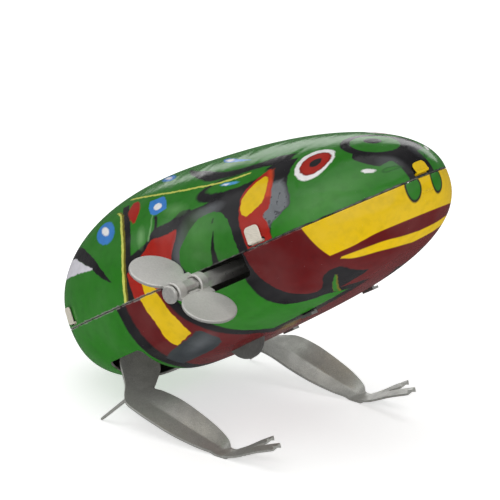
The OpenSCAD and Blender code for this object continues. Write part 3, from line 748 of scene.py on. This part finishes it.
# Place along the body, side and half length of each slot for the motor's feet.
FOOT_SLOTS = [(15, -1, 1.5), (-4, 1, 1.5), (15, 1, 1.5), (0, -1, 4.2)]
FOOT_SLOT_HALF = 0.4
PLATE_MIDDLE = 6.75
FOOT_SLOT_Z = (-20, -8)
OUTLINE_STEPS = 120
INNER_DEPTH = TIN * 0.4


def half_shell(name, upper):
    """A closed half shell: outer skin, inner skin and the cut edge along the seam."""
    stations = np.sin(np.linspace(-END_ANGLE, END_ANGLE, STATIONS))
    angles = np.linspace(0, math.pi, AROUND)
    t, a = np.meshgrid(stations, angles, indexing="ij")
    skins = []
    for inset in (SKIN, SKIN + TIN):
        x, y, z = section_point(t, a, upper, inset)
        z = np.maximum(z, SEAM_GAP / 2) if upper else np.minimum(z, -SEAM_GAP / 2)
        skins.append(np.stack([x, y, z], -1).reshape(-1, 3))
    points = [from_body(*p) for p in np.concatenate(skins)]
    inner = STATIONS * AROUND
    last = AROUND - 1
    faces = []
    for i in range(STATIONS - 1):
        for j in range(last):
            k = i * AROUND + j
            faces.append((k, k + 1, k + AROUND + 1, k + AROUND))
            faces.append((inner + k, inner + k + AROUND, inner + k + AROUND + 1, inner + k + 1))
        for j in (0, last):
            k = i * AROUND + j
            faces.append((k, k + AROUND, inner + k + AROUND, inner + k))
    for i in (0, STATIONS - 1):
        k = i * AROUND
        faces.append(tuple(range(k, k + AROUND)))
        faces.append(tuple(range(inner + k, inner + k + AROUND)))
        faces.append((k, k + last, inner + k + last, inner + k))
    return new_object(name, points, faces)


def rounded_box(name, low, high, radius, lengthwise, place):
    """A box with four rounded edges along one axis (0, 1 or 2)."""
    u, v = [axis for axis in range(3) if axis != lengthwise]
    outline = []
    for corner in range(4):
        quarter = math.pi / 2 * corner
        centre_u = high[u] - radius if corner in (0, 3) else low[u] + radius
        centre_v = high[v] - radius if corner in (0, 1) else low[v] + radius
        for step in range(7):
            turn = quarter + math.pi / 2 * step / 6
            outline.append((centre_u + radius * math.cos(turn), centre_v + radius * math.sin(turn)))
    rings = []
    for end in (low[lengthwise], high[lengthwise]):
        ring = []
        for p, q in outline:
            spot = [0, 0, 0]
            spot[u], spot[v], spot[lengthwise] = p, q, end
            ring.append(spot)
        rings.append(ring)
    return loft(name, rings, place)


def on_rim(x, side):
    """Placing function at a spot on the rim, from (along the rim, outwards, up) to the row frame."""

    def at_nose(u, v, w):
        return from_body(x + v, -u, w)

    def on_wall(u, v, w):
        rim_x = x + u * math.cos(turn) + v * math.sin(turn)
        rim_y = start - u * math.sin(turn) + v * math.cos(turn)
        return from_body(rim_x, side * rim_y, w)

    if side == 0:
        return at_nose
    turn = rim_turn(x)
    start = float(half_width(station(np.array(x))))
    return on_wall


def cut(piece, cutters):
    """Takes the cutters out of a piece, one after another."""
    for cutter in cutters:
        hole = piece.modifiers.new("cut", "BOOLEAN")
        hole.operation = "DIFFERENCE"
        hole.solver = "MANIFOLD"
        hole.object = cutter
    apply_modifiers(piece)
    for cutter in cutters:
        bpy.data.objects.remove(cutter)


def tab_slots():
    """Cutters for the slots in the upper shell that the tabs come through."""
    low = (-TAB_SLOT_HALF, -2, TAB_SLOT_Z[0])
    high = (TAB_SLOT_HALF, 2, TAB_SLOT_Z[1])
    return [rounded_box("tab_slot", low, high, 0.34, 1, on_rim(x, side)) for x, side, lean, rise in TABS]


def lower_openings():
    """Cutters for the arbor's notch, the legs' slot and the motor's feet in the lower shell."""
    notch = rounded_box("notch", (NOTCH_X[0], -30, -NOTCH_DEPTH), (NOTCH_X[1], -8, 3), 1, 1, from_body)
    slot = rounded_box("slot", (LEG_SLOT_X[0], -20, -22), (LEG_SLOT_X[1], 20, LEG_SLOT_TOP), 1, 1, from_body)
    feet = []
    for x, side, half in FOOT_SLOTS:
        middle = side * PLATE_MIDDLE
        low = (x - half, middle - FOOT_SLOT_HALF, FOOT_SLOT_Z[0])
        high = (x + half, middle + FOOT_SLOT_HALF, FOOT_SLOT_Z[1])
        feet.append(rounded_box("foot", low, high, 0.38, 2, from_body))
    return [notch, slot, *feet]


def round_section(body, upper):
    """For places in body axes: distance round the section from the seam, and depth under the skin."""
    x, y, z = body.T
    t = station(x / (1 - SKIN / END_SHRINK))
    wide = np.maximum(half_width(t) - SKIN, 0.02)
    tall = np.maximum(height(t, upper) - SKIN, 0.02)
    square = UPPER_SQUARE if upper else LOWER_SQUARE
    side = (np.abs(y) / wide) ** (square / 2)
    up = (np.abs(z) / tall) ** (square / 2)
    depth = (1 - np.hypot(side, up) ** (2 / square)) * np.hypot(y, z)
    angle = np.arctan2(up, side)
    share = np.linspace(0, 1, OUTLINE_STEPS)[:, None] * angle[None, :]
    across = wide * np.cos(share) ** (2 / square)
    rise = tall * np.sin(share) ** (2 / square)
    length = np.hypot(np.diff(across, axis=0), np.diff(rise, axis=0)).sum(0)
    return length if upper else -length, depth


def read(items, field, kind, width=1):
    """One field of all of a mesh's vertices, corners or faces, as an array."""
    values = np.empty(len(items) * width, kind)
    items.foreach_get(field, values)
    return values


def store(mesh, name, domain, vectors):
    """Adds a vector attribute to a mesh."""
    layer = mesh.attributes.new(name, "FLOAT_VECTOR", domain)
    layer.data.foreach_set("vector", vectors.astype(np.float32).ravel())


def lay_out_print(piece, upper):
    """Stores for the print: place in body axes at each point, and (s, t, inner) at each face corner."""
    mesh = piece.data
    row = read(mesh.vertices, "co", float, 3).reshape(-1, 3)
    body = ((row - np.array(ORIGIN)) / MM) @ np.array(LEAN)
    over, depth = round_section(body, upper)
    corners = read(mesh.loops, "vertex_index", int)
    starts = read(mesh.polygons, "loop_start", int)
    totals = read(mesh.polygons, "loop_total", int)
    deepest = np.maximum.reduceat(depth[corners], starts)
    inner = np.repeat((deepest > INNER_DEPTH).astype(float), totals)
    store(mesh, "print_place", "CORNER", np.stack([body[corners, 0], over[corners], inner], -1))
    store(mesh, "body_place", "POINT", body)


def shell(name, upper, openings, material):
    """A half shell with its openings cut and its print laid out."""
    piece = half_shell(name, upper)
    cut(piece, openings)
    smooth(piece.data, 40)
    lay_out_print(piece, upper)
    piece.data.materials.append(material)
    return piece


# ---- Tabs ----


def tab(name, place, lean, rise):
    """A folded tab: root inside the wall, neck through the slot, and outer leg lying up the wall."""
    root = TAB_ROOT
    neck = TAB_NECK + TIN / 2
    face = TAB_AIR + TIN / 2
    tip = rise - TAB_NECK
    lean = math.radians(lean)
    line = [(root, -2.3), (root, -0.4), (root, neck - 0.25), (root + 0.07, neck - 0.07), (root + 0.25, neck)]
    line += [(face - 0.22, neck), (face - 0.06, neck + 0.06), (face, neck + 0.22)]
    flats = [0.4, 0.7, 1.0, tip - TAB_WIDTH / 4]
    rounds = [tip - TAB_WIDTH / 4 * (1 - math.sin(math.radians(a))) for a in TAB_ROUNDING]
    for climb in flats + rounds:
        line.append((face - climb * math.sin(lean), TAB_NECK + climb * math.cos(lean)))
    halves = [TAB_WIDTH / 2] * (len(line) - len(rounds))
    halves += [TAB_WIDTH / 4 * (1 + math.cos(math.radians(a))) for a in TAB_ROUNDING]
    return strip(name, line, halves, TIN, place)


def strip(name, line, halves, thickness, place):
    """A sheet strip along a line of (out, up) places, with rounded long edges and its width across."""
    count = len(line)
    rings = []
    for i, (out, up) in enumerate(line):
        before = line[max(i - 1, 0)]
        after = line[min(i + 1, count - 1)]
        run = math.hypot(after[0] - before[0], after[1] - before[1])
        normal = ((after[1] - before[1]) / run, -(after[0] - before[0]) / run)
        half = halves[i]
        edge = thickness * 0.35
        flat = thickness / 2
        lower = [(-half, -edge * 0.5), (-half + edge, -flat), (half - edge, -flat), (half, -edge * 0.5)]
        outline = lower + [(half, edge * 0.5), (half - edge, flat), (0, flat)]
        outline += [(-half + edge, flat), (-half, edge * 0.5)]
        rings.append([(u, out + normal[0] * h, up + normal[1] * h) for u, h in outline])
    return loft(name, rings, place)


# ---- Key and arbor ----

KEY_TURN = Matrix.Rotation(PITCH + math.radians(17), 3, "Y")
KEY_OUT = 25
WING_HALF = (4.05, 4.6)
WING_MIDDLE = 5.55
WING_AROUND = 72
WING_RINGS = 14
WING_RIM = 0.028
WING_DISH = 0.18
WING_LEVEL = 0.108
KEY_SHEET = 0.5
FLANK_X = (1.3, 2.9)
FLANK_Y = (-27.45, -20.75)
FLANK_HALF = 0.22
STRAP_RADIUS = 1.47
# Middle, half width and side (over or under the arbor) of each strap.
STRAPS = [(-26.6, 0.9, 1), (-21.6, 0.9, 1), (-24.1, 1.2, -1)]
ARBOR_AROUND = 64
ARBOR_FLAT = 0.99
ARBOR_HEAD = [(-28.28, 0.9), (-28.24, 1.25), (-28.12, 1.42), (-27.9, 1.45), (-27.75, 1.3)]
ARBOR_SHAFT = [(-27.7, 1.19), (-27.6, 1.19), (7.42, 1.19), (7.5, 1.1)]


def from_key(u, y, w):
    """From key axes (along the wings, sideways, square to the sheet) to the row frame."""
    spot = KEY_TURN @ Vector((u, 0, w))
    return from_body(ARBOR[0] + spot.x, y, ARBOR[1] + spot.z)


def wing(side):
    """One oval wing, slightly dished, with a rounded rim."""
    profile = [(r / WING_RINGS, 1) for r in range(1, WING_RINGS)]
    for a in range(0, 181, 20):
        turn = math.radians(a)
        profile.append((1 - WING_RIM + WING_RIM * math.sin(turn), math.cos(turn)))
    profile += [(r / WING_RINGS, -1) for r in range(WING_RINGS - 1, 0, -1)]
    rings = []
    for size, face in profile:
        ring = []
        dish = WING_DISH * size**2 - WING_LEVEL
        for k in range(WING_AROUND):
            turn = 2 * math.pi * k / WING_AROUND
            u = WING_HALF[0] * size * math.cos(turn)
            y = WING_HALF[1] * size * math.sin(turn)
            ring.append((side * (WING_MIDDLE + u), y - KEY_OUT, face * KEY_SHEET / 2 + side * dish))
        rings.append(ring)
    return loft("wing", rings, from_key, smooth_angle=50)


def strap(y, half, over):
    """A band of the key's sheet bowed over (+1) or under (-1) the arbor."""

    def place(u, out, up):
        return from_key(out, y + u, up)

    line = []
    for a in range(-12, 193, 12):
        turn = math.radians(a)
        line.append((STRAP_RADIUS * math.cos(turn), over * STRAP_RADIUS * math.sin(turn)))
    return strip("strap", line, [half] * len(line), KEY_SHEET, place)


def build_key():
    """The key's one sheet: two wings, a flank beside the arbor for each, and three straps."""
    parts = [wing(-1), wing(1)]
    for side in (-1, 1):
        near, far = sorted(side * x for x in FLANK_X)
        low = (near, FLANK_Y[0], -FLANK_HALF)
        high = (far, FLANK_Y[1], FLANK_HALF)
        parts.append(rounded_box("flank", low, high, 0.2, 1, from_key))
    for middle, half, over in STRAPS:
        parts.append(strap(middle, half, over))
    return join("key_sheet", parts)


def build_arbor():
    """A squared shaft with its corners turned off, and a mushroomed outer end."""
    rings = []
    for y, radius in ARBOR_HEAD + ARBOR_SHAFT:
        ring = []
        for k in range(ARBOR_AROUND):
            turn = 2 * math.pi * k / ARBOR_AROUND
            flat = ARBOR_FLAT / max(abs(math.cos(turn)), abs(math.sin(turn)))
            r = radius if (y, radius) in ARBOR_HEAD else min(radius, flat)
            ring.append((r * math.cos(turn), y, r * math.sin(turn)))
        rings.append(ring)
    return loft("arbor", rings, from_key, smooth_angle=28)


# ---- Legs ----

LEG_OUT = 15.8
LEG_SHEET = 0.4
CREASE = 0.5
SHIN_TILT = 1.2
SHIN_WIDTH = 6.4
THIGH_WIDTH = 8.8
ANKLE_WIDTH = 3.8
HEEL_X = 10.4
# Stations of (x, height, sideways, width, fold, tilt) from the hip down to the heel.
LEG_LINE = [
    (-15, 9.8, 7.3, THIGH_WIDTH, 0, 0),
    (-14.5, 8.8, 7.9, THIGH_WIDTH, 0, 0),
    (-13.8, 7.7, 8.6, THIGH_WIDTH, 0, 0),
    (-12.6, 6.7, 9.6, 8.6, 0, 0),
    (-11, 5.8, 11.1, 8.2, 0, 0),
    (-9.4, 5.05, 13.4, 7.5, 0, 0),
    (-7.8, 4.7, LEG_OUT - 0.5, SHIN_WIDTH + 0.2, 0.15, 0.25),
    (-5.6, 4.3, LEG_OUT, SHIN_WIDTH, 0.4, 0.7),
    (-2, 3.4, LEG_OUT, 5.8, CREASE, SHIN_TILT),
    (2, 2.3, LEG_OUT, 5.4, CREASE, SHIN_TILT),
    (6, 1.3, LEG_OUT, 4.6, 0.45, 0.95),
    (8.4, 0.7, LEG_OUT, 4, 0.3, 0.5),
    (HEEL_X - 1, LEG_SHEET / 2, LEG_OUT, ANKLE_WIDTH, 0, 0),
    (HEEL_X + 0.5, LEG_SHEET / 2, LEG_OUT, ANKLE_WIDTH, 0, 0),
    (HEEL_X + 1.1, LEG_SHEET / 2, LEG_OUT, ANKLE_WIDTH, 0, 0),
]
TOE_ROOT = HEEL_X + 0.2
# Stations of (x, height, sideways from the shin's middle, width).
LONG_TOE = [(TOE_ROOT, 0.22, -0.9, 1.9), (13.4, 1.2, -1.05, 2), (17.6, 3, -1.3, 1.9), (21.6, 4.5, -1.6, 2)]
SHORT_TOE = [(TOE_ROOT, 0.22, 0.9, 1.9), (13, 1.15, 1.05, 2), (15.4, 2.6, 1.2, 1.9), (17.8, 3.9, 1.4, 2)]
TOE_TILT = 0.25
SPUR_TIP = (-13.8, 0.2)
SPUR_ROOT = (-8.6, 4.8)
SPUR_OUT = 17.4
SPUR_SHEET = 0.38
# Share of the way from the spur's root to its tip, and half width there.
SPUR_HALVES = [(0, 0.6), (0.25, 0.5), (0.5, 0.42), (0.75, 0.42), (0.9, 0.36), (1, 0.2)]
# Distance back from a toe's end, and width there.
TOE_END = [(0.35, 1.95), (0.12, 1.4), (0.0, 0.8)]
WEB_Z = -6.8
WEB_X = (-21.2, -15.4)
WEB_HALF = 8.8
WEB_SHEET = 0.38
ARM_LINE = [(HINGE[0] + 0.7, HINGE[1] + 0.5), (-13.3, -1.25), (-11, -0.55), (-8.7, -0.15)]
ARM_MIDDLE = -1
ARM_HALF = 1.55
CHEEK_SHEET = 0.44
BARREL_HALF = 4.4
BARREL_RADIUS = 1.3
BORE_RADIUS = 0.85
ROD_AROUND = 40
ROD_CORNER = 0.06


def ribbon(name, line, thickness, per_span=5):
    """A sheet strip through stations of (x, height, sideways, width, fold, tilt).

    The fold lifts both edges over the crease, and the tilt lifts the left edge and lowers the right.
    """
    stations = curve_through(line, per_span)
    stations[:, 1] = np.maximum(stations[:, 1], thickness / 2)
    half = [0.05, 0.13, 0.3, 0.55, 0.8, 0.985, 1]
    across = [-a for a in half[::-1]] + [0] + half
    rings = []
    for i, (x, z, out, width, fold, tilt) in enumerate(stations):
        after = stations[min(i + 1, len(stations) - 1)]
        before = stations[max(i - 1, 0)]
        run = math.hypot(after[0] - before[0], after[1] - before[1])
        lift = (-(after[1] - before[1]) / run, (after[0] - before[0]) / run)
        ring = []
        for face, order in ((1, across), (-1, across[::-1])):
            for a in order:
                skin = thickness / 2 * (0.55 if abs(a) == 1 else 1)
                h = fold * math.sqrt(a * a + 0.002) + tilt * a + face * skin
                ring.append((x + lift[0] * h, out + a * width / 2, z + lift[1] * h))
        rings.append(ring)
    return loft(name, rings, from_stance, smooth_angle=22)


def leg(side):
    """One leg, from the hip to the heel. Both have their left edge higher along the shin."""
    line = [(x, z, side * out, width, fold, tilt) for x, z, out, width, fold, tilt in LEG_LINE]
    return ribbon("leg", line, LEG_SHEET - 0.02)


def toe(stations, side):
    """A toe with a rounded tip. The toes keep their places across on both feet."""
    line = []
    for x, z, across, width in stations:
        tilt = TOE_TILT if line else 0
        line.append((x, z, side * LEG_OUT + across, width, 0, tilt))
    end_x, end_z, end_out = line[-1][:3]
    run = Vector((end_x - line[-2][0], end_z - line[-2][1])).normalized()
    line.pop()
    for back, width in TOE_END:
        line.append((end_x - run.x * back, end_z - run.y * back, end_out, width, 0, TOE_TILT * width / 2))
    return ribbon("toe", line, LEG_SHEET - 0.08, per_span=4)


def spur(side):
    """The prong behind each foot, from under the shin back to the ground."""

    def place(u, out, up):
        return from_stance(out, side * SPUR_OUT + u, up)

    line = [tuple(Vector(SPUR_ROOT).lerp(Vector(SPUR_TIP), share)) for share, half in SPUR_HALVES]
    halves = [half for share, half in SPUR_HALVES]
    return strip("spur", line, halves, SPUR_SHEET, place)


def arm():
    """The arm that meets the star cam."""

    def place(u, out, up):
        return from_body(out, u + ARM_MIDDLE, up)

    return strip("arm", ARM_LINE, [ARM_HALF] * len(ARM_LINE), CHEEK_SHEET, place)


def rod(name, at, low, high, radius):
    """A round bar along y about a place (x, z) in body axes."""
    corner = ROD_CORNER
    small = radius - corner
    turns = np.linspace(0, 2 * math.pi, ROD_AROUND, False)
    rings = []
    for y, r in ((low, small), (low + corner, radius), (high - corner, radius), (high, small)):
        rings.append([(at[0] + r * math.cos(a), y, at[1] + r * math.sin(a)) for a in turns])
    return loft(name, rings, from_body)


def build_legs():
    """The leg plate: legs, feet, web, two cheeks, hinge barrel and arm in one sheet."""
    parts = []
    for side in (-1, 1):
        parts.append(leg(side))
        parts.append(toe(LONG_TOE, side))
        parts.append(toe(SHORT_TOE, side))
        parts.append(spur(side))
        y = side * (BARREL_HALF - 0.25)
        low = (HINGE[0] - 1, y - CHEEK_SHEET / 2, WEB_Z)
        high = (HINGE[0] + 1, y + CHEEK_SHEET / 2, HINGE[1])
        parts.append(rounded_box("cheek", low, high, 0.1, 2, from_body))
    low = (WEB_X[0], -WEB_HALF, WEB_Z - WEB_SHEET / 2)
    high = (WEB_X[1], WEB_HALF, WEB_Z + WEB_SHEET / 2)
    parts.append(rounded_box("web", low, high, 0.1, 1, from_body))
    parts.append(arm())
    barrel = rod("barrel", HINGE, -BARREL_HALF, BARREL_HALF, BARREL_RADIUS)
    cut(barrel, [rod("bore", HINGE, -BARREL_HALF - 1, BARREL_HALF + 1, BORE_RADIUS)])
    parts.append(barrel)
    return join("legs_sheet", parts)


# ---- Pieces on their bodies ----


def dress(piece, body, material, finish_slot, *nodes):
    """Gives a piece its material and the body it moves with, and hides the nodes it stands for. The finish slot is
    not used.
    """
    if not piece.data.materials:
        piece.data.materials.append(material)
    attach(piece, body)
    if nodes:
        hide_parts(*nodes)


finishes = {name: metal(name, *row) for name, row in METALS.items()}
finishes["tab_yellow"] = painted("tab_yellow", YELLOW)
finishes["printed_upper"] = upper_print()
finishes["printed_lower"] = lower_print()

upper = shell("shell_upper", True, tab_slots(), finishes["printed_upper"])
lower = shell("shell_lower", False, lower_openings(), finishes["printed_lower"])
dress(upper, "frog_body", finishes["printed_upper"], "printed_upper", "upper_shell")
dress(lower, "frog_body", finishes["printed_lower"], "printed_lower", "lower_shell")
for count, (x, side, lean, rise) in enumerate(TABS, 1):
    piece = tab(f"shell_tab_{count}", on_rim(x, side), lean, rise)
    # The side and tail tabs take the tin with its painted highlight; the nose tab is printed yellow.
    dress(piece, "frog_body", finishes["tab_yellow" if side == 0 else "tab_tin_and_highlight"], "printed_lower")

dress(build_key(), "winder", finishes["key_nickel"], "key_nickel", "key")
dress(build_arbor(), "winder", finishes["turned_steel"], "turned_steel", "winding_arbor")
dress(build_legs(), "legs", finishes["leg_tin"], "leg_tin", "leg_plate")

shown_as = {part["node"]: part["material_slot"] for part in frame["record"]["subparts"]}
for name, node in frame["nodes"].items():
    if not node.data.materials:
        node.data.materials.append(None)
    for place in node.material_slots:
        place.link = "OBJECT"
        place.material = finishes[shown_as[name]]


# ---- Floor, light and camera ----

VIEW_TURN = math.radians(40.82)
VIEW_RISE = math.radians(20.25)
DISTANCE = 2.5
PICTURE_WIDTH = 0.07635
SENSOR = 36
AIM_RIGHT = 0.87
AIM_UP = 0.794
FLOOR_HALF = 1.6
WORLD_GLOW = 0.15
SOFTBOX_DISTANCE = 0.7


def direction(turn, rise):
    """Unit vector away from the toy, turned from the right side towards the nose, and raised."""
    level = math.cos(rise)
    return Vector((math.sin(turn) * level, -math.cos(turn) * level, math.sin(rise)))


def plain(name, colour, roughness, glow):
    """An even, faintly glowing surface with a trace of grain."""
    m = Nodes(name)
    grain = m.noise(m.node("ShaderNodeTexCoord").outputs["Object"], 40, 3)
    tone = m.mix(m.remap(grain, 0.3, 0.7), colour, tuple(c * 0.985 for c in colour[:3]) + (1,))
    return m.finish(**{
        "Base Color": tone,
        "Roughness": roughness,
        "Specular IOR Level": 0.1,
        "Emission Color": (1, 1, 1, 1),
        "Emission Strength": glow,
    })


corners = [(FLOOR_HALF * x, FLOOR_HALF * y, 0) for x, y in ((-1, -1), (1, -1), (1, 1), (-1, 1))]
floor = new_object("floor", corners, [(0, 1, 2, 3)])
floor.data.materials.append(plain("pale_floor", (0.9, 0.9, 0.9, 1), 0.9, 0.5))
# The photo shows no haze of floor in the lacquer, so reflections leave the floor out.
floor.visible_glossy = False


def softbox(name, turn, rise, size, power):
    """A large soft light aimed at the toy from a direction given in degrees."""
    away = direction(math.radians(turn), math.radians(rise))
    light = bpy.data.lights.new(name, "AREA")
    light.shape = "RECTANGLE"
    light.size, light.size_y = size
    light.energy = power
    lamp = add_object(name, light)
    lamp.location = ORIGIN + away * SOFTBOX_DISTANCE
    lamp.rotation_euler = away.to_track_quat("Z", "Y").to_euler()


world = bpy.data.worlds.new("studio")
bpy.context.scene.world = world
world.use_nodes = True
sky = world.node_tree.nodes["Background"].inputs
sky["Color"].default_value = (1, 1, 1, 1)
sky["Strength"].default_value = WORLD_GLOW
softbox("top_rear", 215, 10, (0.6, 0.2), 0.9)
softbox("overhead", 0, 88, (1.0, 1.0), 3.4)
softbox("front", 45, 25, (0.9, 0.5), 1.5)
softbox("left", -50, 30, (0.9, 0.5), 1.1)
softbox("right", 130, 30, (0.9, 0.5), 0.7)

bpy.context.scene.view_settings.view_transform = "Standard"

right = Vector((math.cos(VIEW_TURN), math.sin(VIEW_TURN), 0))
back = direction(VIEW_TURN, VIEW_RISE)
up = back.cross(right)
aim = ORIGIN + right * AIM_RIGHT * MM + up * AIM_UP * MM
camera = add_object("camera", bpy.data.cameras.new("camera"))
camera.data.sensor_width = SENSOR
camera.data.lens = SENSOR * DISTANCE / PICTURE_WIDTH
camera.location = aim + back * DISTANCE
camera.rotation_euler = back.to_track_quat("Z", "Y").to_euler()
bpy.context.scene.camera = camera
